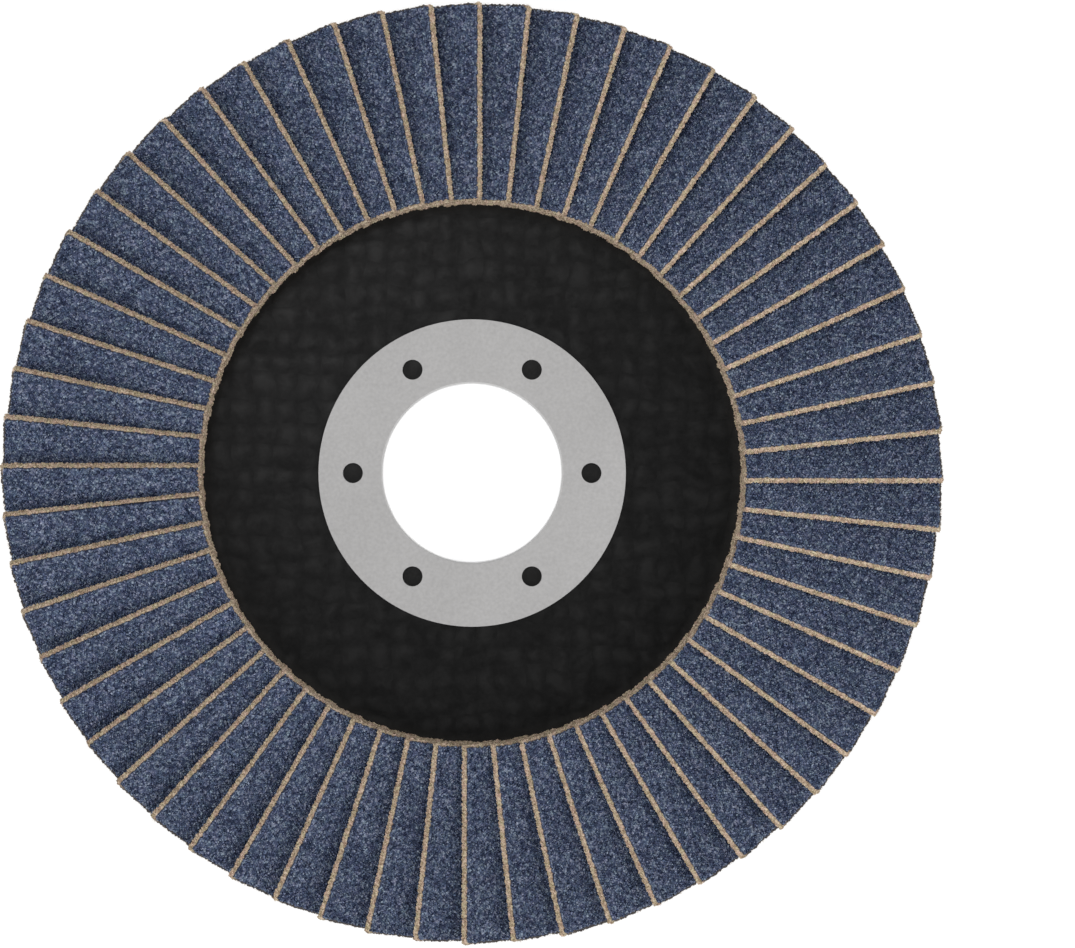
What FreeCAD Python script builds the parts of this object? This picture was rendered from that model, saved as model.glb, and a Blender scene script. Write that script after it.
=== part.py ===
import FreeCAD, Part
import math
import os

import Sketcher

# Flap disc: a fan of tilted abrasive flaps bonded to a flat backing plate with a
# metal ring in its bore. The plate lies in the XY plane with its back face at
# z = 0, the flaps point up and the bore runs along Z. Flap number k lies along
# the direction k * 360 / flapCount from +X.

SIZES = [
    ("discDiameter", 115.0, "across the outer ends of the flaps"),
    ("flapCount", 60, "flaps in the fan"),
    ("flapLength", 24.3, "flap, along the radius"),
    ("flapWidth", 8.8, "flap, from leading to trailing edge along its slope"),
    ("clothThickness", 0.95, "woven cloth of a flap"),
    ("gritThickness", 0.47, "resin and grain on the cloth"),
    ("gritSetback", 0.2, "bare cloth along the leading edge"),
    ("flapGap", 0.2, "between neighbouring flaps at their inner ends"),
    ("flapLead", 1.25, "leading lower edge, ahead of the flap's own radius"),
    ("flapOverhang", 3.5, "outer ends of the flaps, past the plate's rim"),
    ("plateThickness", 3.0, "backing plate"),
    ("rimChamfer", 0.8, "chamfer round the back of the plate's rim"),
    ("frontChamfer", 0.4, "chamfer round the front of the plate's rim"),
    ("boreDiameter", 22.23, "spindle bore, inside the ring's collar"),
    ("flangeWidth", 7.935, "ring's flange, from the bore to its rim"),
    ("ringThickness", 0.5, "sheet metal of the ring"),
    ("ringProud", 0.2, "ring's flange, above the plate's front face"),
    ("ringMouth", 0.2, "chamfer from the flange into the bore"),
    ("ringClearance", 0.08, "round the ring's flange and collar in the plate"),
    ("keyHoleCount", 6, "keying holes in the ring's flange"),
    ("keyHoleDiameter", 2.5, "keying hole"),
    ("keyHoleInset", 3.68, "keying hole's centre, out from the bore's wall"),
    ("bondHeight", 1.2, "adhesive bed, above the plate's front face"),
    ("bondFilm", 0.15, "adhesive left under a flap's lowest edge"),
    ("bondInset", 0.75, "adhesive, in from the plate's rim"),
    ("bondSetback", 0.2, "adhesive, back from the flaps' inner ends"),
]

FLAP_PITCH = "360 / Sizes.flapCount"
DISC_RADIUS = "Sizes.discDiameter / 2"
FLAP_INNER_RADIUS = f"({DISC_RADIUS} - Sizes.flapLength)"
FLAP_THICKNESS = "(Sizes.clothThickness + Sizes.gritThickness)"
# The flaps are packed at their inner ends, so thickness and gap set the tilt.
FLAP_TILT = (
    f"asin(({FLAP_THICKNESS} + Sizes.flapGap)"
    f" / ({FLAP_INNER_RADIUS} * tan({FLAP_PITCH} * 1 deg)))"
)
FLAP_SPREAD = f"(Sizes.flapWidth * cos({FLAP_TILT}) + {FLAP_THICKNESS} * sin({FLAP_TILT}))"
FLAP_MIDDLE = f"asin(({FLAP_SPREAD} / 2 - Sizes.flapLead) / {FLAP_INNER_RADIUS})"
# Spare length that a flap's inner end is trimmed from.
FLAP_SPARE = f"(Sizes.flapWidth * tan({FLAP_MIDDLE}))"
PLATE_RADIUS = f"({DISC_RADIUS} - Sizes.flapOverhang)"
FRONT_FACE = "Sizes.plateThickness"
BORE_RADIUS = "Sizes.boreDiameter / 2"
RING_RADIUS = f"({BORE_RADIUS} + Sizes.flangeWidth)"
COLLAR_RADIUS = f"({BORE_RADIUS} + Sizes.ringThickness)"
RING_FRONT = f"({FRONT_FACE} + Sizes.ringProud)"
RING_SEAT = f"({RING_FRONT} - Sizes.ringThickness)"

FLAPS_PER_NODE = 2

doc = FreeCAD.newDocument("FlapDisc")


def make_sheet():
    """Spreadsheet with the driving sizes, one alias a row."""
    sheet = doc.addObject("Spreadsheet::Sheet", "Sizes")
    for row, (name, value, note) in enumerate(SIZES, start=1):
        sheet.set(f"A{row}", name)
        sheet.set(f"B{row}", str(value))
        sheet.setAlias(f"B{row}", name)
        sheet.set(f"C{row}", note)
    doc.recompute()
    return sheet


def value_of(owner, expression):
    """The number that an expression on the sheet gives."""
    result = owner.evalExpression(expression)
    return getattr(result, "Value", result)


def make_body(name):
    body = doc.addObject("PartDesign::Body", name)
    body.Label = name
    return body


def origin_plane(body, role):
    return next(plane for plane in body.Origin.OriginFeatures if plane.Role == role)


def attach_sketch(body, name, role):
    sketch = body.newObject("Sketcher::SketchObject", name)
    sketch.AttachmentSupport = [(origin_plane(body, role), "")]
    sketch.MapMode = "FlatFace"
    return sketch


def square_profile(body, name, role, corners):
    """Closed profile of level and upright lines between corners (x, y).

    Each corner's x and y are expressions. An upright line is dimensioned by its
    x and a level line by its y, so that every line has one dimension.
    """
    sketch = attach_sketch(body, name, role)
    points = [
        FreeCAD.Vector(value_of(sketch, x), value_of(sketch, y), 0) for x, y in corners
    ]
    count = len(points)
    for line in range(count):
        sketch.addGeometry(Part.LineSegment(points[line], points[(line + 1) % count]))
    for line in range(count):
        following = (line + 1) % count
        sketch.addConstraint(Sketcher.Constraint("Coincident", line, 2, following, 1))
        upright = corners[line][0] == corners[following][0]
        axis = 0 if upright else 1
        sketch.addConstraint(
            Sketcher.Constraint("Vertical" if upright else "Horizontal", line)
        )
        number = sketch.addConstraint(
            Sketcher.Constraint(
                "DistanceX" if upright else "DistanceY", -1, 1, line, 1, points[line][axis]
            )
        )
        sketch.setExpression(f"Constraints[{number}]", corners[line][axis])
    return sketch


def circle_profile(body, name, radius, place):
    """Circle in the XY plane, centred out along X at place."""
    sketch = attach_sketch(body, name, "XY_Plane")
    centre = FreeCAD.Vector(value_of(sketch, place), 0, 0)
    circle = Part.Circle(centre, FreeCAD.Vector(0, 0, 1), value_of(sketch, radius))
    sketch.addGeometry(circle)
    sketch.addConstraint(Sketcher.Constraint("PointOnObject", 0, 3, -1))
    across = sketch.addConstraint(Sketcher.Constraint("DistanceX", -1, 1, 0, 3, centre.x))
    sketch.setExpression(f"Constraints[{across}]", place)
    size = sketch.addConstraint(Sketcher.Constraint("Radius", 0, circle.Radius))
    sketch.setExpression(f"Constraints[{size}]", radius)
    return sketch


def revolve(body, name, sketch):
    """Full turn of a profile in the XZ plane about Z."""
    feature = body.newObject("PartDesign::Revolution", name)
    feature.Profile = sketch
    feature.ReferenceAxis = (sketch, ["V_Axis"])
    feature.Angle = 360
    sketch.Visibility = False
    doc.recompute()
    return feature


def circle_edge(feature, radius, height):
    """Name of the level circular edge with this radius and height."""
    wanted_radius = value_of(feature, radius)
    wanted_height = value_of(feature, height)
    for number, edge in enumerate(feature.Shape.Edges, start=1):
        curve = edge.Curve
        if curve.TypeId != "Part::GeomCircle":
            continue
        same_radius = math.isclose(curve.Radius, wanted_radius, abs_tol=1e-6)
        same_height = math.isclose(curve.Center.z, wanted_height, abs_tol=1e-6)
        if same_radius and same_height:
            return f"Edge{number}"
    raise ValueError(f"no edge of radius {radius} at {height} in {feature.Label}")


def chamfer_edge(body, name, feature, edge, size):
    chamfer = body.newObject("PartDesign::Chamfer", name)
    chamfer.Base = (feature, [edge])
    chamfer.setExpression("Size", size)
    body.Tip = chamfer
    doc.recompute()
    return chamfer


def cut_upward(body, name, feature, sketch):
    """Cut a profile in the XY plane up through all of the feature."""
    cut = body.newObject("PartDesign::Pocket", name)
    cut.Profile = sketch
    cut.Reversed = True
    cut.Type = "ThroughAll"
    sketch.Visibility = False
    body.Tip = cut
    doc.recompute()
    if cut.Shape.Volume >= feature.Shape.Volume:
        raise ValueError(f"{name} cuts nothing")
    return cut


def make_plate():
    """Pressed plate of glass cloth and resin, with a seat for the ring."""
    body = make_body("backing_plate")
    bore = f"{COLLAR_RADIUS} + Sizes.ringClearance"
    seat = f"{RING_RADIUS} + Sizes.ringClearance"
    profile = square_profile(
        body,
        "plate_profile",
        "XZ_Plane",
        [
            (bore, "0"),
            (PLATE_RADIUS, "0"),
            (PLATE_RADIUS, FRONT_FACE),
            (seat, FRONT_FACE),
            (seat, RING_SEAT),
            (bore, RING_SEAT),
        ],
    )
    blank = revolve(body, "plate_blank", profile)
    back_edge = circle_edge(blank, PLATE_RADIUS, "0")
    chamfered = chamfer_edge(body, "rim_chamfer", blank, back_edge, "Sizes.rimChamfer")
    front_edge = circle_edge(chamfered, PLATE_RADIUS, FRONT_FACE)
    chamfer_edge(body, "front_chamfer", chamfered, front_edge, "Sizes.frontChamfer")
    return body


def make_ring():
    """Pressed ring: a flange with keying holes and a collar through the plate."""
    body = make_body("centre_ring")
    profile = square_profile(
        body,
        "ring_profile",
        "XZ_Plane",
        [
            (BORE_RADIUS, "0"),
            (COLLAR_RADIUS, "0"),
            (COLLAR_RADIUS, RING_SEAT),
            (RING_RADIUS, RING_SEAT),
            (RING_RADIUS, RING_FRONT),
            (BORE_RADIUS, RING_FRONT),
        ],
    )
    blank = revolve(body, "ring_blank", profile)
    mouth_edge = circle_edge(blank, BORE_RADIUS, RING_FRONT)
    mouth = chamfer_edge(body, "ring_mouth", blank, mouth_edge, "Sizes.ringMouth")

    hole_sketch = circle_profile(
        body,
        "key_hole_sketch",
        "Sizes.keyHoleDiameter / 2",
        f"{BORE_RADIUS} + Sizes.keyHoleInset",
    )
    hole = cut_upward(body, "key_hole", mouth, hole_sketch)

    pattern = body.newObject("PartDesign::PolarPattern", "key_holes")
    pattern.Originals = [hole]
    pattern.Axis = (hole_sketch, ["N_Axis"])
    pattern.Angle = 360
    pattern.setExpression("Occurrences", "Sizes.keyHoleCount")
    body.Tip = pattern
    doc.recompute()
    return body


def make_flap_blank():
    """One flap, cut from coated cloth, lying along +X at its place in the fan.

    The section is drawn flat, x down the slope from the leading edge and y out
    of the cloth, and the sketch is then tilted about its leading lower corner.
    The inner end is trimmed square to the radius through the flap's middle, so
    that the inner ends of the whole fan are nearly flush.
    """
    body = make_body("flap_blank")
    profile = square_profile(
        body,
        "flap_section",
        "YZ_Plane",
        [
            ("0", "0"),
            ("Sizes.flapWidth", "0"),
            ("Sizes.flapWidth", FLAP_THICKNESS),
            ("Sizes.gritSetback", FLAP_THICKNESS),
            ("Sizes.gritSetback", "Sizes.clothThickness"),
            ("0", "Sizes.clothThickness"),
        ],
    )
    turn = FreeCAD.Rotation(FreeCAD.Vector(0, 0, 1), 1)
    profile.AttachmentOffset = FreeCAD.Placement(FreeCAD.Vector(), turn)
    rise = f"Sizes.flapWidth * sin({FLAP_TILT})"
    profile.setExpression("AttachmentOffset.Rotation.Angle", f"-{FLAP_TILT}")
    profile.setExpression("AttachmentOffset.Base.x", "-Sizes.flapLead")
    profile.setExpression(
        "AttachmentOffset.Base.y", f"{FRONT_FACE} + Sizes.bondFilm + {rise}"
    )
    profile.setExpression("AttachmentOffset.Base.z", f"{FLAP_INNER_RADIUS} - {FLAP_SPARE}")

    length = body.newObject("PartDesign::Pad", "flap_length")
    length.Profile = profile
    length.setExpression("Length", f"Sizes.flapLength + {FLAP_SPARE}")
    doc.recompute()

    trim = square_profile(
        body,
        "inner_end_trim",
        "XY_Plane",
        [
            (f"{FLAP_INNER_RADIUS} - 2 * {FLAP_SPARE}", "-Sizes.flapWidth"),
            (FLAP_INNER_RADIUS, "-Sizes.flapWidth"),
            (FLAP_INNER_RADIUS, "Sizes.flapWidth"),
            (f"{FLAP_INNER_RADIUS} - 2 * {FLAP_SPARE}", "Sizes.flapWidth"),
        ],
    )
    trim.AttachmentOffset = FreeCAD.Placement(FreeCAD.Vector(), turn)
    trim.setExpression("AttachmentOffset.Rotation.Angle", FLAP_MIDDLE)
    cut_upward(body, "inner_end", length, trim)
    return body


def make_flap_pairs(blank, flap_count):
    """The fan: neighbouring flaps two to a node, each flap its own solid."""
    pairs = []
    for first in range(0, flap_count, FLAPS_PER_NODE):
        node_name = f"flap_pair_{first // FLAPS_PER_NODE + 1:02d}"
        flaps = []
        for number in range(first, min(first + FLAPS_PER_NODE, flap_count)):
            flap = doc.addObject("App::Link", f"flap_{number + 1:02d}")
            flap.LinkedObject = blank
            flap.setExpression("Placement.Rotation.Angle", f"{number} * {FLAP_PITCH}")
            flaps.append(flap)
        pair = doc.addObject("Part::Compound", node_name)
        pair.Label = node_name
        pair.Links = flaps
        pairs.append(pair)
    doc.recompute()
    return pairs


def make_cylinder(name, radius, height):
    cylinder = doc.addObject("Part::Cylinder", name)
    cylinder.setExpression("Radius", radius)
    cylinder.setExpression("Height", height)
    cylinder.setExpression("Placement.Base.z", FRONT_FACE)
    return cylinder


def make_adhesive(pairs):
    """Cured bed on the plate, with the seats that the flaps' lower edges leave."""
    outer = make_cylinder(
        "bond_outside", f"{PLATE_RADIUS} - Sizes.bondInset", "Sizes.bondHeight"
    )
    inner = make_cylinder(
        "bond_inside", f"{FLAP_INNER_RADIUS} + Sizes.bondSetback", "Sizes.bondHeight"
    )
    blank = doc.addObject("Part::Cut", "bond_blank")
    blank.Base = outer
    blank.Tool = inner

    fan = doc.addObject("Part::Compound", "flap_fan")
    fan.Links = pairs

    bed = doc.addObject("Part::Cut", "adhesive_ring")
    bed.Label = "adhesive_ring"
    bed.Base = blank
    bed.Tool = fan
    doc.recompute()
    return bed


def check_document(expected_solids):
    """Stop on any object that failed, or a sub-part that isn't whole."""
    for item in doc.Objects:
        if "Invalid" in item.State or "Error" in item.State:
            raise ValueError(f"{item.Label} failed: {item.State}")
    for node, solids in expected_solids:
        shape = node.Shape
        if shape.isNull() or not shape.isValid():
            raise ValueError(f"{node.Label} has no valid shape")
        if len(shape.Solids) != solids:
            raise ValueError(f"{node.Label} has {len(shape.Solids)} solids, not {solids}")


def main():
    sheet = make_sheet()
    plate = make_plate()
    ring = make_ring()
    pairs = make_flap_pairs(make_flap_blank(), int(sheet.flapCount))
    bed = make_adhesive(pairs)

    expected_solids = [(plate, 1), (ring, 1), (bed, 1)]
    expected_solids += [(pair, len(pair.Links)) for pair in pairs]
    check_document(expected_solids)

    os.makedirs("parts", exist_ok=True)
    for node, _ in expected_solids:
        node.Shape.exportStep(f"parts/{node.Label}.step")
        print(node.Label, round(node.Shape.Volume, 2), "mm3")


main()
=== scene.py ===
import math

import bpy
import numpy as np
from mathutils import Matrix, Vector


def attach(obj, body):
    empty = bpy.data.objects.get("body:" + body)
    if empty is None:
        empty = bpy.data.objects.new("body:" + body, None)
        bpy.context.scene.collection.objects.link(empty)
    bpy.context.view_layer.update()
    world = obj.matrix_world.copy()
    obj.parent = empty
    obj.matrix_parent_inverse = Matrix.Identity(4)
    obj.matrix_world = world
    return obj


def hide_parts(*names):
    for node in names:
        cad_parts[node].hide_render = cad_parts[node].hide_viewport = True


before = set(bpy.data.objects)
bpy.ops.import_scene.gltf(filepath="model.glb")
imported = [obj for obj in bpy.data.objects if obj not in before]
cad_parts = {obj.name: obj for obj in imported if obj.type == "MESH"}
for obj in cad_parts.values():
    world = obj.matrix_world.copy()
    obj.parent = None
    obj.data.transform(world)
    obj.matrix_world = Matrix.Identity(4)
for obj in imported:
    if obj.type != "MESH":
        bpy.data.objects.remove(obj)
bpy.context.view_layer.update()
mm = 0.001


# shader maths: a Wire is one socket, and a sum of Wires adds its own Math nodes
class Wire:
    def __init__(self, finish, socket):
        self.finish, self.socket = finish, socket

    def maths(self, operation, first, second):
        return self.finish.node("ShaderNodeMath", {"operation": operation}, {0: first, 1: second})

    def __add__(self, other):
        return self.maths("ADD", self, other)

    def __sub__(self, other):
        return self.maths("SUBTRACT", self, other)

    def __rsub__(self, other):
        return self.maths("SUBTRACT", other, self)

    def __mul__(self, other):
        return self.maths("MULTIPLY", self, other)

    def __truediv__(self, other):
        return self.maths("DIVIDE", self, other)

    def __pow__(self, other):
        return self.maths("POWER", self, other)

    def __gt__(self, other):
        return self.maths("GREATER_THAN", self, other)

    __radd__ = __add__
    __rmul__ = __mul__


class Finish:  # one material and its nodes
    def __init__(self, name):
        self.material = bpy.data.materials.new(name)
        self.material.use_nodes = True
        self.tree = self.material.node_tree
        self.tree.nodes.clear()

    def node(self, kind, settings=None, inputs=None, out=0):
        made = self.tree.nodes.new(kind)
        for name, value in (settings or {}).items():
            if name == "stops":  # a colour ramp's places and colours
                ramp = made.color_ramp
                while len(ramp.elements) < len(value):
                    ramp.elements.new(0.5)
                for element, (place, colour) in zip(ramp.elements, value):
                    element.position, element.color = place, paint(colour)
            else:
                setattr(made, name, value)
        for name, value in (inputs or {}).items():
            if isinstance(value, Wire):
                self.tree.links.new(value.socket, made.inputs[name])
            else:
                made.inputs[name].default_value = value
        row, column = divmod(len(self.tree.nodes), 9)
        made.location = (220 * column, -260 * row)
        return Wire(self, made.outputs[out]) if len(made.outputs) else None

    def beside(self, wire, name):  # another output of the same node
        return Wire(self, wire.socket.node.outputs[name])

    def stored(self, label):  # a number that the mesh holds
        return self.node("ShaderNodeAttribute", {"attribute_name": label}, out=2)

    def storedPlace(self, label):
        return self.node("ShaderNodeAttribute", {"attribute_name": label}, out=1)

    def place(self):  # on the piece, in metres
        return self.node("ShaderNodeTexCoord", out=3)

    def noise(self, where, scale, detail=2.0, rough=0.5):
        inputs = {"Vector": where, "Scale": scale, "Detail": detail, "Roughness": rough}
        return self.node("ShaderNodeTexNoise", {}, inputs)

    def sway(self, where, scale, reach):
        # the place pushed about by a slow noise, so that lines drawn with it wander
        inputs = {"Vector": where, "Scale": scale, "Detail": 2.0}
        push = self.node("ShaderNodeTexNoise", {}, inputs, out=1)
        return self.vectors("MULTIPLY_ADD", {0: push, 1: (reach,) * 3, 2: where})

    def woven(self, where, period):
        # over-and-under rows of two sets of yarns: how high the upper yarn is, and how
        # near its crossing's middle
        first = self.node("ShaderNodeSeparateXYZ", {}, {0: where})
        turns = [
            self.node("ShaderNodeMath", {"operation": "SINE"}, {0: part * (math.pi / period)})
            for part in (first, self.beside(first, "Y"))
        ]
        rows = [part * part for part in turns]
        over = (turns[0] * turns[1]) > 0.0
        return rows[0] * over + rows[1] * (1 - over), rows[0] * rows[1]

    def speckle(self, where, scale):
        # cells that each have their own value
        cell = self.node("ShaderNodeTexVoronoi", {}, {"Vector": where, "Scale": scale}, out=1)
        return self.node("ShaderNodeSeparateXYZ", {}, {0: cell})

    def vectors(self, operation, inputs, out=0):
        return self.node("ShaderNodeVectorMath", {"operation": operation}, inputs, out)

    def limit(self, value):
        return self.node("ShaderNodeClamp", {}, {"Value": value})

    def blend(self, mask, first, second):
        inputs = {0: mask, 6: first, 7: second}
        return self.node("ShaderNodeMix", {"data_type": "RGBA"}, inputs, out=2)

    def radius(self, where):  # distance from the bore's axis
        flat = self.vectors("MULTIPLY", {0: where, 1: (1.0, 1.0, 0.0)})
        return self.vectors("LENGTH", {0: flat}, out=1)

    def ramp(self, value, stops):
        return self.node("ShaderNodeValToRGB", {"stops": stops}, {0: value})

    def tint(self, colour, drift, casts, gain=2.6):
        # the colour taken from one cast to the other as drift goes from 0 to 1
        level = self.limit(drift * gain - (gain - 1) / 2)
        cast = self.blend(level, paint(casts[0]), paint(casts[1]))
        return self.vectors("MULTIPLY", {0: colour, 1: cast})

    def bump(self, height, distance, strength):
        inputs = {"Height": height, "Distance": distance * mm, "Strength": strength}
        return self.node("ShaderNodeBump", {}, inputs)

    def shade(self, **sockets):
        names = {name.replace("_", " "): value for name, value in sockets.items()}
        surface = self.node("ShaderNodeBsdfPrincipled", {}, names)
        self.node("ShaderNodeOutputMaterial", {}, {"Surface": surface})
        return self.material


def paint(colour, light=1.0):
    return tuple(part * light for part in colour) + (1.0,)


def dress(name, verts, faces, looks, uvs, values, node):
    mesh = bpy.data.meshes.new(name)
    mesh.from_pydata(verts, [], faces)
    order = {look: i for i, look in enumerate(dict.fromkeys(looks))}
    for look in order:
        mesh.materials.append(look)
    mesh.polygons.foreach_set("material_index", [order[look] for look in looks])
    mesh.uv_layers.new(name="OFBake").data.foreach_set("uv", uvs.astype(np.float32).ravel())
    for label, (domain, kind, data) in values.items():
        field = "vector" if kind == "FLOAT_VECTOR" else "value"
        stored = mesh.attributes.new(label, kind, domain)
        stored.data.foreach_set(field, data.astype(np.float32).ravel())
    mesh.update()
    piece = bpy.data.objects.new(name, mesh)
    bpy.context.scene.collection.objects.link(piece)
    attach(piece, "root")
    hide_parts(node)


# camera, straight above the bore and turned so that +Y is up
camera = {
    "height": 298.3,  # mm
    "lens": 79.74,
    "sensor": 36.0,
    "shift": (0.0608, -0.0009),
    "clip": (0.01, 20.0),  # m
}

view = bpy.data.cameras.new("camera")
view.lens, view.sensor_width = camera["lens"], camera["sensor"]
view.shift_x, view.shift_y = camera["shift"]
view.clip_start, view.clip_end = camera["clip"]
viewer = bpy.data.objects.new("camera", view)
viewer.location = (0, 0, camera["height"] * mm)
bpy.context.scene.collection.objects.link(viewer)
bpy.context.scene.camera = viewer
print("camera set")


# flaps: sixty pieces of coated cloth, two to a node, with all lengths in mm
flap = {
    "count": 60,
    "inner": 33.2,  # radius at which the flaps are packed
    "flush": 33.25,  # circle that the inner ends are trimmed to
    "outer": 57.5,  # from the bore's axis to the outer ends
    "length": 24.3,
    "width": 8.8,  # down the slope
    "cloth": 0.95,  # thickness
    "coat": 1.42,  # thickness of cloth and grain together
    "setback": 0.175,  # bare cloth in front of the grain
    "lead": 1.25,  # how far the leading edge lies ahead of the flap's own radius
    "foot": 3.15,  # height of the lowest edge
    "spare": 0.2,  # air between neighbours
    "uneven": (0.09, 0.001, 0.015),  # a flap's length, turn in radians and place in the fan
    "seed": 900,
    "apart": 40,  # from flap to flap in the looks, so that no two are alike
}
pitch = 2 * math.pi / flap["count"]
tilt = math.asin((flap["coat"] + flap["spare"]) / (flap["inner"] * math.tan(pitch)))
crest = flap["foot"] + flap["width"] * math.sin(tilt)

grain = {
    "size": 0.325,
    "jitter": 0.25,  # share of the size
    "drift": 0.13,  # slow wander of the grains' rows
    "waves": (1.9, 3.1, 4.7),  # lengths of the wander's waves
    "veer": 1.7,  # turns a wave's push away from its crests
    "calm": 1.2,  # the wander dies out over this much at the coat's rim
    "inset": (0.24, 0.26),  # bare cloth at the inner and outer ends
    "ragged": 0.085,  # the coat's torn rim
    "valley": -0.21,  # this and the next heights are from the coat's face
    "valleySpread": 0.06,
    "top": -0.03,
    "topSpread": 0.08,
    "tip": 0.06,
    "lowest": -0.147,
    "highest": 0.11,
    "lean": 0.09,  # how far a pointed grain's tip is off its middle
    "blunt": 0.2,  # share of the grains that have a flat top
    "flat": (0.35, 0.85),  # share of a grain's width that its top takes
    "flatSpread": (0.8, 1.2),
    "flatShake": 0.03,
    "covered": 0.5,  # how far the grains go on under the next flap
    "ends": (0.5, 0.9),  # strips at the inner and outer ends that have grains all the way
    "sunk": 0.02,  # how far the coat's rim goes into the cloth
    "rimShade": 0.4,
}

edge = {
    "stations": 190,
    "levels": (0.0, 0.2, 0.45, 0.7, 0.93),
    "worn": (0.03, -0.02, 0.0, 0.05, 0.145),  # how far back the cut edge lies at each level
    "under": 0.34,  # where the cloth's torn front meets its flat face
    "columns": 60,
    "backStations": 12,
    "rough": 0.122,
    "frontShake": (0.5, 1.0, 0.8),  # shares of the roughness along, downhill and in height
    "endShake": ((1.15, 0.6, 0.8), (0.85, 0.6, 0.8)),  # the same, at the inner and outer ends
    "torn": (0.5, 0.4),  # waves of the inner and outer ends
    "tornSmooth": (0.5, 1.0, 0.5),
    "short": 0.04,  # room that the outer end leaves for its roughness
}

fibre = {
    "count": 280,
    "spots": (0, 1, 2, 2),  # front, inner end and outer end, by turns
    "radius": (0.013, 0.026),
    "reach": ((0.07, 0.2), (0.1, 0.3), (0.1, 0.34)),  # at each spot
    "frontSpread": (0.5, 0.5),
    "endSpread": (0.6, 0.4),
    "root": 0.03,  # how deep it starts
    "corner": (0.2, 0.1),  # clear of the corners, in front and at the ends
    "lowest": 0.1,
}

endDarkening = {
    "outer": 0.8,  # how much of the outer end is darkened
    "fade": (0.2, 0.6),  # from the leading edge: where it starts, and how long it takes
    "low": 0.55,  # share of the darkening up to the height "full"
    "full": 0.6,
    "inner": (0.4, 0.2),  # how much of the inner end is darkened, and by how much
}


def onFlap(lay, turn, longer, skew, shift):
    # (along, downhill, off the back) in a flap's own lie to the disc's frame
    along, downhill, off = lay.T
    v = shift + skew * (along - flap["length"] / 2) - flap["lead"]
    v = v + downhill * math.cos(tilt) + off * math.sin(tilt)
    z = crest - downhill * math.sin(tilt) + off * math.cos(tilt)
    near = np.sqrt(flap["flush"] ** 2 - v ** 2)
    x = near + (flap["outer"] + longer - near) * along / flap["length"]
    c, s = math.cos(turn), math.sin(turn)
    return np.column_stack([x * c - v * s, x * s + v * c, z]) * mm


def loopOf(cells, count):
    # the corners round the outside of a patch of cells, in order
    starts, ends = cells.ravel(), np.roll(cells, -1, 1).ravel()
    alone = ~np.isin(starts * count + ends, ends * count + starts)
    follow = dict(zip(starts[alone].tolist(), ends[alone].tolist()))
    loop = [int(starts[alone][0])]
    while follow[loop[-1]] != loop[0]:
        loop.append(follow[loop[-1]])
    return np.array(loop)


def honeycomb(rng, low, high, near, far):
    # six-sided cells with wandering, jittered corners between the coat's four sides
    columns = int(round((far - near) / grain["size"]))
    rows = int(round((high - low) / (grain["size"] * math.sqrt(3) / 2)))
    stepX, stepA = (far - near) / columns, (high - low) / rows
    i, j = np.meshgrid(np.arange(-1, columns + 1), np.arange(-1, rows + 1), indexing="ij")
    x = near + (i + 0.25 + 0.5 * (j % 2)) * stepX
    a = low + (j + 0.5) * stepA
    inside = np.minimum(np.minimum(a - low, high - a), np.minimum(x - near, far - x))
    calm = np.clip(inside / grain["calm"], 0, 1)
    for wave in grain["waves"]:
        turn, begin = rng.uniform(0, 2 * math.pi, 2)
        ripple = (x * math.cos(turn) + a * math.sin(turn)) * 2 * math.pi / wave + begin
        ripple = np.sin(ripple) * grain["drift"] * calm * wave / grain["waves"][1]
        push = turn * grain["veer"]
        x, a = x - ripple * math.sin(push), a + ripple * math.cos(push)
    shake = lambda: rng.uniform(-1, 1, x.shape) * grain["jitter"] * grain["size"]
    upper = np.stack([x + shake(), a + stepA * 2 / 3 + shake()], -1)
    lower = np.stack([x + shake(), a - stepA * 2 / 3 + shake()], -1)
    corners = np.concatenate([upper.reshape(-1, 2), lower.reshape(-1, 2)])
    corners = np.clip(corners, (near, low), (far, high))

    place = np.arange(x.size).reshape(x.shape)
    up, down = lambda m, n: place[m, n], lambda m, n: place[m, n] + x.size
    m, n = np.meshgrid(np.arange(1, columns + 1), np.arange(1, rows + 1), indexing="ij")
    p = (n - 1) % 2
    cells = np.stack([
        down(m + p, n + 1), up(m, n), down(m - 1 + p, n + 1),
        up(m - 1 + p, n - 1), down(m, n), up(m + p, n - 1),
    ], -1)
    used, cells = np.unique(cells.reshape(-1, 6), return_inverse=True)
    return corners[used], cells.reshape(-1, 6)


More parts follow.
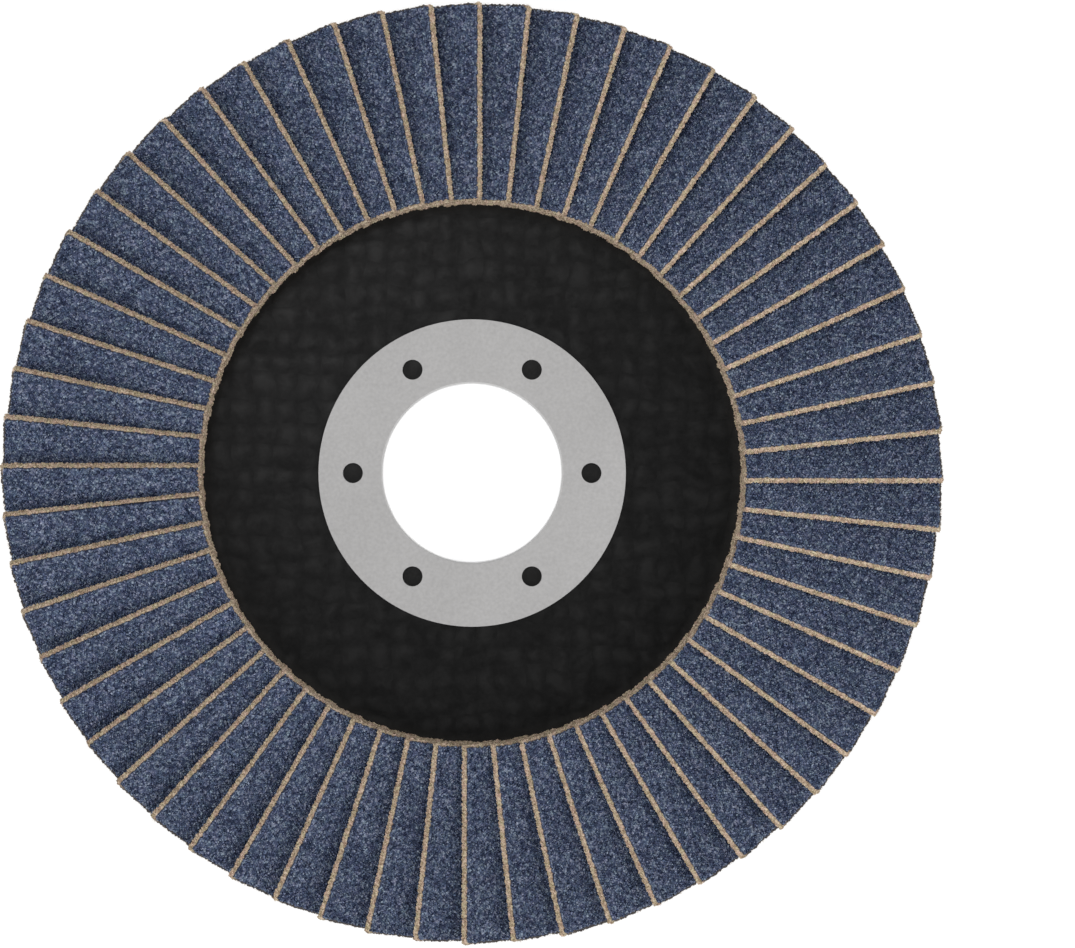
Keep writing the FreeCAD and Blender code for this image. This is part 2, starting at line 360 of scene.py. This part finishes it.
def coatOf(rng):
    # the grain coat: a grain on each cell of the honeycomb, and a plain patch where the
    # next flap hides it
    near, far = grain["inset"][0], flap["length"] - grain["inset"][1]
    corners, cells = honeycomb(rng, flap["setback"], flap["width"], near, far)
    count = len(corners)
    rim = loopOf(cells, count)
    corners[rim] += rng.uniform(-1, 1, (len(rim), 2)) * grain["ragged"]
    spread = rng.uniform(-1, 1, count) * grain["valleySpread"]
    height = flap["coat"] + grain["valley"] + spread

    middle = corners[cells].mean(1)
    across = -flap["lead"] + middle[:, 1] * math.cos(tilt) + flap["coat"] * math.sin(tilt)
    radial = flap["inner"] + middle[:, 0]
    nextEdge = radial * math.sin(pitch) - flap["lead"] * math.cos(pitch)
    seen = across < nextEdge + grain["covered"]
    seen |= middle[:, 0] < near + grain["ends"][0]
    seen |= middle[:, 0] > far - grain["ends"][1]
    blunt = seen & (rng.random(len(cells)) < grain["blunt"])
    sharp = seen & ~blunt
    tops, tips = int(blunt.sum()), int(sharp.sum())

    # pointed grains: six sides up to one tip
    tip = middle[sharp] + rng.uniform(-1, 1, (tips, 2)) * grain["lean"]
    rise = grain["top"] + rng.normal(0, 1, tips) * grain["topSpread"]
    rise = np.clip(rise, grain["lowest"], grain["highest"])
    pointed, six = cells[sharp], count + np.arange(tips)
    sides = [np.stack([pointed[:, k], pointed[:, (k + 1) % 6], six], -1) for k in range(6)]
    sharpFaces = np.stack(sides, 1).reshape(-1, 3)

    # blunt grains: a raised three-cornered top
    flat = cells[blunt]
    flat = np.where(rng.random((tops, 1)) < 0.5, flat, np.roll(flat, 1, 1))
    share = rng.uniform(*grain["flat"], (tops, 1)) * rng.uniform(*grain["flatSpread"], (tops, 3))
    aim = corners[flat[:, ::2]] - middle[blunt][:, None]
    raised = middle[blunt][:, None] + aim * share[:, :, None]
    raised = raised + rng.uniform(-1, 1, aim.shape) * grain["flatShake"]
    lift = rng.normal(0, 1, (tops, 1)) * grain["topSpread"]
    lift = lift + rng.normal(0, 1, (tops, 3)) * grain["tip"]
    lift = np.clip(grain["top"] + lift, grain["lowest"], grain["highest"])
    t = count + tips + np.arange(tops * 3).reshape(-1, 3)
    sides = []
    for k in range(3):
        first, second, third = flat[:, 2 * k], flat[:, 2 * k + 1], flat[:, (2 * k + 2) % 6]
        here, after = t[:, k], t[:, (k + 1) % 3]
        sides.append(np.stack([first, second, here], -1))
        sides.append(np.stack([second, after, here], -1))
        sides.append(np.stack([second, third, after], -1))
    sides.append(t)
    bluntFaces = np.stack(sides, 1).reshape(-1, 3)

    # the coat's rim goes down to the cloth, and its underside is closed
    foot = count + tips + tops * 3 + np.arange(len(rim))
    skirt = np.stack([np.roll(rim, -1), rim, foot, np.roll(foot, -1)], -1)

    lay = np.concatenate([
        np.column_stack([corners, height]),
        np.column_stack([tip, flap["coat"] + rise]),
        np.column_stack([raised.reshape(-1, 2), flap["coat"] + lift.ravel()]),
        np.column_stack([corners[rim], np.full(len(rim), flap["cloth"] - grain["sunk"])]),
    ])
    depth = np.concatenate([np.zeros(count), np.ones(tips + tops * 3), np.zeros(len(rim))])
    parts = [
        ("top", sharpFaces, np.repeat(rng.random(tips), 6)),
        ("top", bluntFaces, np.repeat(rng.random(tops), 10)),
        ("top", loopOf(cells[~seen], count)[None], np.zeros(1)),
        ("rim", skirt, rng.random(len(skirt)) * grain["rimShade"]),
        ("under", foot[::-1][None], np.zeros(1)),
    ]
    return lay, depth, parts


def frayed(rng, number):
    # one fibre: a three-sided spike that stands out of a cut edge
    long, wide = flap["length"], flap["width"]
    spot = fibre["spots"][number % len(fibre["spots"])]
    size = rng.uniform(*fibre["radius"])
    reach = rng.uniform(*fibre["reach"][spot])
    n = rng.uniform(fibre["lowest"], flap["cloth"])
    if spot == 0:
        corner, spread = fibre["corner"][0], fibre["frontSpread"]
        root = np.array([rng.uniform(corner, long - corner), fibre["root"], n])
        way = np.array([rng.normal(0, spread[0]), -1.0, rng.normal(0, spread[1])])
    else:
        corner, spread = fibre["corner"][1], fibre["endSpread"]
        x, out = (fibre["root"], -1.0) if spot == 1 else (long - fibre["root"], 1.0)
        root = np.array([x, rng.uniform(corner, wide - corner), n])
        way = np.array([out, rng.normal(0, spread[0]), rng.normal(0, spread[1])])
    way /= np.linalg.norm(way)
    side = np.cross(way, (0.3, 0.5, 0.8))  # any direction that no fibre points in
    side /= np.linalg.norm(side)
    spins = [2 * math.pi * k / 3 for k in range(3)]
    ring = [math.cos(spin) * side + math.sin(spin) * np.cross(way, side) for spin in spins]
    return [tuple(root + size * around) for around in ring] + [tuple(root + way * reach)]


def clothOf(rng):
    # the woven cloth: rough cut edges in front and at both ends, flat back, frayed fibres
    long, wide = flap["length"], flap["width"]
    levels, rough = edge["levels"], edge["rough"]
    stations = np.linspace(0, long, edge["stations"] + 1)
    lay, where = [], {}

    def put(key, x, a, n):
        if key not in where:
            where[key] = len(lay)
            lay.append((x, a, n))

    wob = lambda: rng.uniform(-rough, rough)
    last, rows = len(stations) - 1, len(levels)
    columns = np.concatenate([[0.0], np.linspace(edge["under"], wide, edge["columns"])])
    end = len(columns) - 1
    backs = np.linspace(0, long, edge["backStations"] + 1)

    def capKey(side, c, r):  # shared with the front's and the tail's own points
        if c == 0:
            return ("front", r, last if side else 0)
        if c == 1 and r == rows - 1:
            return ("front", rows, last if side else 0)
        if c == end:
            return ("tail", r, len(backs) - 1 if side else 0)
        return ("cap", side, c, r)

    for side, x in ((0, 0.0), (1, long - edge["short"])):
        out, along, up = edge["endShake"][side]
        torn = np.convolve(rng.uniform(-1, 1, len(columns) + 2), edge["tornSmooth"], "valid")
        torn = torn * rough * edge["torn"][side]
        for c, a in enumerate(columns):
            for r, n in enumerate(levels):
                put(
                    capKey(side, c, r),
                    x + torn[c] + wob() * out,
                    a + (wob() * along if 0 < c < end else 0),
                    n + (wob() * up if 0 < r < rows - 1 else 0),
                )
    along, out, up = edge["frontShake"]
    for s, x in enumerate(stations):
        for r, n in enumerate(levels):
            put(
                ("front", r, s),
                x + wob() * along,
                edge["worn"][r] + wob() * out,
                n + (wob() * up if 0 < r < rows - 1 else 0),
            )
        put(("front", rows, s), x, edge["under"], levels[-1])
    for s, x in enumerate(backs):
        for r, n in enumerate(levels):
            put(("tail", r, s), x, wide, n)

    def quad(key, p, q):
        corners = key(p, q), key(p + 1, q), key(p + 1, q + 1), key(p, q + 1)
        return [where[corner] for corner in corners]

    def strip(key, numbers):
        return [where[key(number)] for number in numbers]

    ofFront, ofTail = lambda r, s: ("front", r, s), lambda s, r: ("tail", r, s)
    front = [quad(ofFront, r, s) for r in range(rows) for s in range(last)]
    tail = [quad(ofTail, s, r) for r in range(rows - 1) for s in range(len(backs) - 1)]
    caps = []
    for side in (0, 1):
        ofCap = lambda c, r: capKey(side, c, r)
        faces = [quad(ofCap, c, r) for c in range(end) for r in range(rows - 1)]
        caps += faces if side else [face[::-1] for face in faces]

    alongFront, alongTail = range(last + 1), range(len(backs))[::-1]
    top = strip(lambda s: ("front", rows, s), alongFront)
    top += strip(lambda c: capKey(1, c, rows - 1), range(2, end))
    top += strip(lambda s: ("tail", rows - 1, s), alongTail)
    top += strip(lambda c: capKey(0, c, rows - 1), range(2, end)[::-1])
    back = strip(lambda s: ("front", 0, s), alongFront)
    back += strip(lambda c: capKey(1, c, 0), range(1, end))
    back += strip(lambda s: ("tail", 0, s), alongTail)
    back += strip(lambda c: capKey(0, c, 0), range(1, end)[::-1])

    x, a, n = np.array(lay).T
    # the cloth made darker at its outer end, back from the leading edge and most near the top,
    # and a little darker at its inner end
    fade = np.clip((a - endDarkening["fade"][0]) / endDarkening["fade"][1], 0, 1)
    height = endDarkening["low"] + (1 - endDarkening["low"]) * (n > endDarkening["full"])
    darkEnd = (x > long - endDarkening["outer"]) * fade * height
    darkEnd += (x < endDarkening["inner"][0]) * endDarkening["inner"][1]

    fibres = []
    for number in range(fibre["count"]):
        first = len(lay)
        lay += frayed(rng, number)
        fibres += [(first + k, first + (k + 1) % 3, first + 3) for k in range(3)]
    parts = [
        ("front", front), ("tail", tail), ("caps", caps),
        ("bed", [top]), ("back", [back[::-1]]), ("fibre", fibres),
    ]
    undarkened = np.concatenate([1 - darkEnd, np.ones(len(lay) - len(darkEnd))])
    return np.array(lay), undarkened, parts


# where each group of faces lies on a flap's half of the bake map: the lowest and highest
# share of its height
mapRows = {
    "top": (0.0, 0.62),
    "front": (0.63, 0.74),
    "back": (0.75, 0.86),
    "caps": (0.87, 0.91),
    "rim": (0.918, 0.942),
    "tail": (0.948, 0.96),
    "fibre": (0.965, 0.975),
    "bed": (0.98, 0.987),
    "under": (0.99, 0.997),
}
mapMargin = (0.004, 0.002)
mapEnd = (0.49, 0.48)  # shares of a row's width and height that the faces of one end take


def mapped(kind, lay, half):
    # a face's corners on the map; lay is (faces, corners, 3)
    along, downhill, off = lay[..., 0], lay[..., 1], lay[..., 2]
    x, a, n = along / flap["length"], downhill / flap["width"], off / flap["coat"]
    if kind == "front":
        u, v = x, (off + downhill) / (flap["cloth"] + edge["under"])
    elif kind == "tail":
        u, v = x, n
    elif kind in ("caps", "rim"):
        outer = along.mean(-1, keepdims=True) > flap["length"] / 2
        runs = (np.ptp(along, -1) > np.ptp(downhill, -1))[..., None] & (kind == "rim")
        u = np.where(runs, x, np.where(outer, 0.5, 0.0) + mapEnd[0] * a)
        v = np.where(runs, 0.5 + 0.5 * n, mapEnd[1] * n)
    else:
        u, v = x, a
    low, high = mapRows[kind]
    u = mapMargin[0] + (1 - 2 * mapMargin[0]) * np.clip(u, 0, 1)
    v = low + (high - low) * np.clip(v, 0, 1)
    return np.stack([u, mapMargin[1] + (half + v) * (0.5 - mapMargin[1])], -1)


# in the flaps' looks a noise is (waves to a mm, detail, roughness), and everywhere a bump
# is (height in mm, strength)
def grainFinish():
    look = {
        "stops": (
            (0.05, (0.015, 0.024, 0.064)),
            (0.35, (0.049, 0.073, 0.150)),
            (0.68, (0.111, 0.147, 0.254)),
            (0.98, (0.305, 0.355, 0.455)),
        ),
        "casts": ((1.03, 0.945, 1.0), (0.965, 1.06, 1.0)),
        "castWaves": 1.3,
        "cell": 0.222,  # mm
        "fine": (7.0, 2.0, 0.7),
        "mix": (0.985, 0.3, 0.635, 0.46),  # cells, whole grains and fine noise, less a level
        "valley": (0.6, 0.8),  # painted shade, partly the darker resin there: how much light the colour keeps in the valleys, and how it grows to the tips
        "patch": (0.35, 2.0),
        "patchLight": (0.78, 0.39),
        "rough": (0.42, 0.35),
        "roughWaves": 9.0,
        "relief": (11.0, 3.0, 0.6),
        "bump": (0.05, 0.6),
    }
    f = Finish("blue grain")
    lay = f.storedPlace("lay")
    cells, whole, fine, level = look["mix"]
    speck = f.speckle(lay, 1 / look["cell"]) * cells + f.stored("grain") * whole
    colour = f.ramp(speck + f.noise(lay, *look["fine"]) * fine - level, look["stops"])
    least, growth = look["valley"]
    even, patchy = look["patchLight"]
    # painted shade: the colour darkened in the valleys between the grains, partly for the darker
    # resin there
    tone = least + (1 - least) * f.stored("depth") ** growth
    tone = tone * (even + patchy * f.noise(lay, *look["patch"]))
    colour = f.vectors("SCALE", {0: colour, "Scale": tone})
    colour = f.tint(colour, f.noise(lay, look["castWaves"]), look["casts"])
    rough = look["rough"][0] + look["rough"][1] * f.noise(lay, look["roughWaves"])
    normal = f.bump(f.noise(lay, *look["relief"]), *look["bump"])
    return f.shade(Base_Color=colour, Roughness=rough, Normal=normal, Specular_IOR_Level=0.4)


def clothFinish():
    look = {
        "stops": (
            (0.25, (0.300, 0.215, 0.140)),
            (0.50, (0.525, 0.408, 0.300)),
            (0.80, (0.705, 0.583, 0.455)),
        ),
        "darkEnd": (0.078, 0.070, 0.068),  # darker colour at the outer ends, back from the leading edge, and a little at the inner ends
        "casts": ((1.055, 0.955, 1.03), (0.95, 1.045, 0.925)),
        "castWaves": 1.2,
        "yarn": 0.55,  # mm from yarn to yarn
        "fleck": (5.0, 3.0, 0.75),
        "cell": 5.5,  # to a mm
        "fleckMix": (0.7, 0.3),
        "soft": (1.1, 2.0),
        "mix": (1.5, 0.3, 0.12, 0.45),  # fleck, soft noise and weave, less a level
        "rough": (0.85, 0.1),
        "relief": (0.7, 0.5),  # weave and fleck
        "bump": (0.1, 0.8),
    }
    f = Finish("tan cloth")
    lay = f.storedPlace("lay")
    noisy, cells = look["fleckMix"]
    fleck = f.noise(lay, *look["fleck"]) * noisy + f.speckle(lay, look["cell"]) * cells
    soft = f.noise(lay, *look["soft"])
    weave = f.woven(lay, look["yarn"])[0]
    flecks, softly, yarns, level = look["mix"]
    colour = f.ramp(fleck * flecks + soft * softly + weave * yarns - level, look["stops"])
    colour = f.tint(colour, f.noise(lay, look["castWaves"]), look["casts"])
    colour = f.blend(f.stored("depth"), paint(look["darkEnd"]), colour)
    rough = look["rough"][0] + look["rough"][1] * soft
    normal = f.bump(weave * look["relief"][0] + fleck * look["relief"][1], *look["bump"])
    return f.shade(Base_Color=colour, Roughness=rough, Normal=normal, Specular_IOR_Level=0.2)


grainLook, clothLook = grainFinish(), clothFinish()

total = 0
for pair in range(flap["count"] // 2):
    points, faces, looks, uvs, lays, depths, grains = [], [], [], [], [], [], []
    start = 0
    for half in (0, 1):
        k = 2 * pair + half
        rng = np.random.default_rng(flap["seed"] + k)
        coatLay, depth, coatParts = coatOf(rng)
        clothLay, undarkened, clothParts = clothOf(rng)
        clothParts = [(kind, group, None) for kind, group in clothParts]
        bent = rng.uniform(-1, 1, 3) * flap["uneven"]
        for lay, parts, look, deep in (
            (coatLay, coatParts, grainLook, depth),
            (clothLay, clothParts, clothLook, undarkened),
        ):
            for kind, group, shade in parts:
                for size in sorted({len(face) for face in group}):
                    same = np.array([face for face in group if len(face) == size])
                    uvs.append(mapped(kind, lay[same], half).reshape(-1, 2))
                    faces += (same + start).tolist()
                    looks += [look] * len(same)
                    grains.append(np.zeros(len(same)) if shade is None else shade)
            points.append(onFlap(lay, k * pitch, *bent))
            lays.append(lay + (flap["apart"] * k, 0, 0))
            depths.append(deep)
            start += len(lay)
    values = {
        "lay": ("POINT", "FLOAT_VECTOR", np.concatenate(lays)),
        "depth": ("POINT", "FLOAT", np.concatenate(depths)),
        "grain": ("FACE", "FLOAT", np.concatenate(grains)),
    }
    dress(
        f"coated_flaps_{pair + 1:02d}", np.concatenate(points), faces, looks,
        np.concatenate(uvs), values, f"flap_pair_{pair + 1:02d}",
    )
    total += sum(len(face) - 2 for face in faces)
print("flaps made of", total, "triangles")


# plate: black resin over woven glass; here and below, a noise has its waves to a metre
plate = {
    "groove": (0.0021, 0.0021, 0.0021),
    "black": (0.0114, 0.0113, 0.0113),
    "yarn": 2.8,  # mm from yarn to yarn
    "sway": (150.0, 3.8),  # the yarns' wander: waves to a metre, and reach in mm
    "cloud": (330.0, 3.0, 0.65),
    "cloudLight": (3.4, 1.15),  # gain, less a level
    "weaveLight": (0.2, 0.4, 0.45),  # everywhere, on the yarns and on their crossings
    "broad": 110.0,
    "broadLight": (0.3, 1.4),
    "grit": (900.0, 3.0, 0.65),
    "gritSway": (600.0, 1.3),
    "gritLight": (1.3, 0.42),  # gain, and the level that counts as none
    # painted light: a paler colour on the plate near the flaps' wall, where their shade falls
    "lightNearWall": (0.022, 0.021, 0.020),
    "lightNearWallRadius": (32.1, 1.2),  # where the painted light starts in the corner at the flaps, and its fade
    "lightNearWallMix": (0.3, 0.6),
    "seat": ((0.0035, 0.0035, 0.0035), (0.0155, 0.015, 0.0148)),  # rough, in the ring's holes
    "seatRadius": 19.1,
    "seatNoise": (3500.0, 2.0, 0.7),
    "rough": (0.38, 0.1, 0.1),
    "relief": (0.4, 0.4, 0.3),  # yarns, crossings and what is lit
    "bump": (0.08, 0.35),
}


def plateFinish():
    f = Finish("black laminate")
    where = f.place()
    bent, gritBent = (
        f.sway(where, waves, reach * mm) for waves, reach in (plate["sway"], plate["gritSway"])
    )
    yarn, knot = f.woven(bent, plate["yarn"] * mm)
    grit = f.noise(gritBent, *plate["grit"])
    gain, level = plate["cloudLight"]
    cloud = f.limit(f.noise(bent, *plate["cloud"]) * gain - level)
    anywhere, onYarn, onKnot = plate["weaveLight"]
    even, broadly = plate["broadLight"]
    lit = cloud * (anywhere + yarn * onYarn + knot * onKnot)
    lit = lit * (even + f.noise(where, plate["broad"]) * broadly)
    gain, level = plate["gritLight"]
    shown = f.limit(lit + (grit - level) * gain)
    colour = f.blend(shown, paint(plate["groove"]), paint(plate["black"]))

    # painted light: the plate made paler towards the flaps' wall, against the shade there
    begin, fade = plate["lightNearWallRadius"]
    lightNearWall = f.limit((f.radius(where) - begin * mm) / (fade * mm))
    even, gritty = plate["lightNearWallMix"]
    colour = f.blend(lightNearWall * (even + grit * gritty), colour, paint(plate["lightNearWall"]))
    seat = f.blend(f.noise(where, *plate["seatNoise"]), *(paint(c) for c in plate["seat"]))
    colour = f.blend(f.radius(where) > plate["seatRadius"] * mm, seat, colour)

    base, smoother, rougher = plate["rough"]
    rough = base - smoother * shown + rougher * grit
    ofYarn, ofKnot, ofShown = plate["relief"]
    normal = f.bump(yarn * ofYarn + knot * ofKnot + shown * ofShown, *plate["bump"])
    return f.shade(Base_Color=colour, Roughness=rough, Normal=normal, Specular_IOR_Level=0.11)


# ring: pressed metal, pale and matte, with painted light that makes the bore's wall and the
# mouth's chamfer pale
ring = {
    "shade": (0.275, 0.270, 0.268),
    "pale": (0.470, 0.463, 0.461),
    # painted light: the pale colour given to faces that are not level, against the shade in the
    # bore
    "bore": (0.82, 0.82, 0.82),
    "level": 1.06,  # gain, so that a face a little off level counts as level
    "speck": (2600.0, 2.0),
    "cloud": (90.0, 2.0),
    "mix": (0.6, 0.4),  # speck and cloud
    "rough": (0.3, 0.12, 0.15),  # everywhere, more on level faces, and the cloud's share
    "bump": (0.02, 0.4),
}


def ringFinish():
    f = Finish("pale matte metal")
    where = f.place()
    facing = f.node("ShaderNodeSeparateXYZ", {}, {0: f.node("ShaderNodeTexCoord", out=1)})
    level = f.limit(f.beside(facing, "Z") * ring["level"])
    speck, cloud = f.noise(where, *ring["speck"]), f.noise(where, *ring["cloud"])
    mixed = speck * ring["mix"][0] + cloud * ring["mix"][1]
    face = f.blend(mixed, paint(ring["shade"]), paint(ring["pale"]))
    # painted light: faces off level, in the bore and on its chamfer, take the pale colour
    colour = f.blend(level, paint(ring["bore"]), face)
    base, onLevel, cloudy = ring["rough"]
    rough = base + level * onLevel + cloudy * cloud
    normal = f.bump(speck, *ring["bump"])
    return f.shade(Base_Color=colour, Roughness=rough, Normal=normal, Specular_IOR_Level=0.45)


# adhesive: dark cured epoxy, full of lint where the flaps' inner ends come out of it
bond = {
    "dark": (0.030, 0.026, 0.022),
    "brown": (0.070, 0.058, 0.047),
    "lint": (0.24, 0.18, 0.122),
    "lintLight": (0.5, 1.5),
    "lintRadius": 34.3,
    "cloud": (260.0, 3.0),
    "fleck": (3000.0, 3.0, 0.7),
    "lumps": (420.0, 4.0),
    "lumpFleck": 0.2,
    "rough": (0.45, 0.3),
    "bump": (0.4, 0.7),
}


def bondFinish():
    f = Finish("dark epoxy")
    where = f.place()
    cloud, fleck = f.noise(where, *bond["cloud"]), f.noise(where, *bond["fleck"])
    colour = f.blend(cloud, paint(bond["dark"]), paint(bond["brown"]))
    lint = f.blend(fleck, *(paint(bond["lint"], light) for light in bond["lintLight"]))
    colour = f.blend(f.radius(where) > bond["lintRadius"] * mm, lint, colour)
    rough = bond["rough"][0] + bond["rough"][1] * cloud
    lumps = f.noise(where, *bond["lumps"]) + fleck * bond["lumpFleck"]
    return f.shade(Base_Color=colour, Roughness=rough, Normal=f.bump(lumps, *bond["bump"]))


for node, look in (
    ("backing_plate", plateFinish()),
    ("centre_ring", ringFinish()),
    ("adhesive_ring", bondFinish()),
):
    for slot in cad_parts[node].material_slots:
        slot.link = "OBJECT"
        slot.material = look
print("plate, ring and adhesive finished")


# stage: white floor that keeps a faint shadow, an even pale world and four soft lamps
stage = {
    "floor": 3.0,  # m
    "sunk": 0.02,  # mm
    "grey": 0.8,
    "glow": 0.85,
    "matte": 0.25,
    "world": 0.43,
    "lamps": (  # watts, azimuth and elevation in degrees, distance and size in m
        (0.87, -90.0, 33.0, 0.7, 0.4),
        (2.06, -20.0, 33.0, 0.7, 0.4),
        (1.74, -160.0, 33.0, 0.7, 0.4),
        (1.08, 126.0, 72.0, 0.7, 0.25),
    ),
}
white = (1.0, 1.0, 1.0)


def makeFloor():
    # white to the camera and in gloss and glass, and a grey floor to all other light
    f = Finish("floor")
    ray = f.node("ShaderNodeLightPath")
    names = ("Is Camera Ray", "Is Glossy Ray", "Is Transmission Ray")
    direct, gloss, glass = (f.beside(ray, name) for name in names)
    seen = ray.maths("MAXIMUM", direct, ray.maths("MAXIMUM", gloss, glass))
    grey = f.node("ShaderNodeBsdfDiffuse", {}, {"Color": paint(white, stage["grey"])})
    matte = f.node("ShaderNodeBsdfDiffuse", {}, {"Color": paint(white, stage["matte"])})
    glow = {"Color": paint(white), "Strength": stage["glow"]}
    glow = f.node("ShaderNodeEmission", {}, glow)
    bright = f.node("ShaderNodeAddShader", {}, {0: matte, 1: glow})
    surface = f.node("ShaderNodeMixShader", {}, {0: seen, 1: grey, 2: bright})
    f.node("ShaderNodeOutputMaterial", {}, {"Surface": surface})

    half = stage["floor"] / 2
    corners = [(-half, -half, 0), (half, -half, 0), (half, half, 0), (-half, half, 0)]
    mesh = bpy.data.meshes.new("floor")
    mesh.from_pydata(corners, [], [(0, 1, 2, 3)])
    mesh.materials.append(f.material)
    floor = bpy.data.objects.new("floor", mesh)
    floor.location = (0, 0, -stage["sunk"] * mm)
    bpy.context.scene.collection.objects.link(floor)


def makeWorld():
    # white to the camera and paler as a light
    world = bpy.data.worlds.new("world")
    bpy.context.scene.world = world
    world.use_nodes = True
    tree = world.node_tree
    ground = tree.nodes["Background"]
    ground.inputs["Color"].default_value = paint(white)
    path = tree.nodes.new("ShaderNodeLightPath")
    swap = tree.nodes.new("ShaderNodeMix")
    tree.links.new(path.outputs["Is Camera Ray"], swap.inputs[0])
    swap.inputs[2].default_value, swap.inputs[3].default_value = stage["world"], 1.0
    tree.links.new(swap.outputs[0], ground.inputs["Strength"])


def makeLamps():
    for watts, azimuth, elevation, distance, size in stage["lamps"]:
        lamp = bpy.data.lights.new("softbox", "AREA")
        lamp.size, lamp.energy = size, watts
        box = bpy.data.objects.new("softbox", lamp)
        turn, lift = math.radians(azimuth), math.radians(elevation)
        level = math.cos(lift)
        away = Vector((math.cos(turn) * level, math.sin(turn) * level, math.sin(lift)))
        box.location = away * distance
        box.rotation_euler = (-away).to_track_quat("-Z", "Y").to_euler()
        bpy.context.scene.collection.objects.link(box)


makeFloor()
makeWorld()
makeLamps()
bpy.context.scene.view_settings.view_transform = "Standard"
print("stage set")
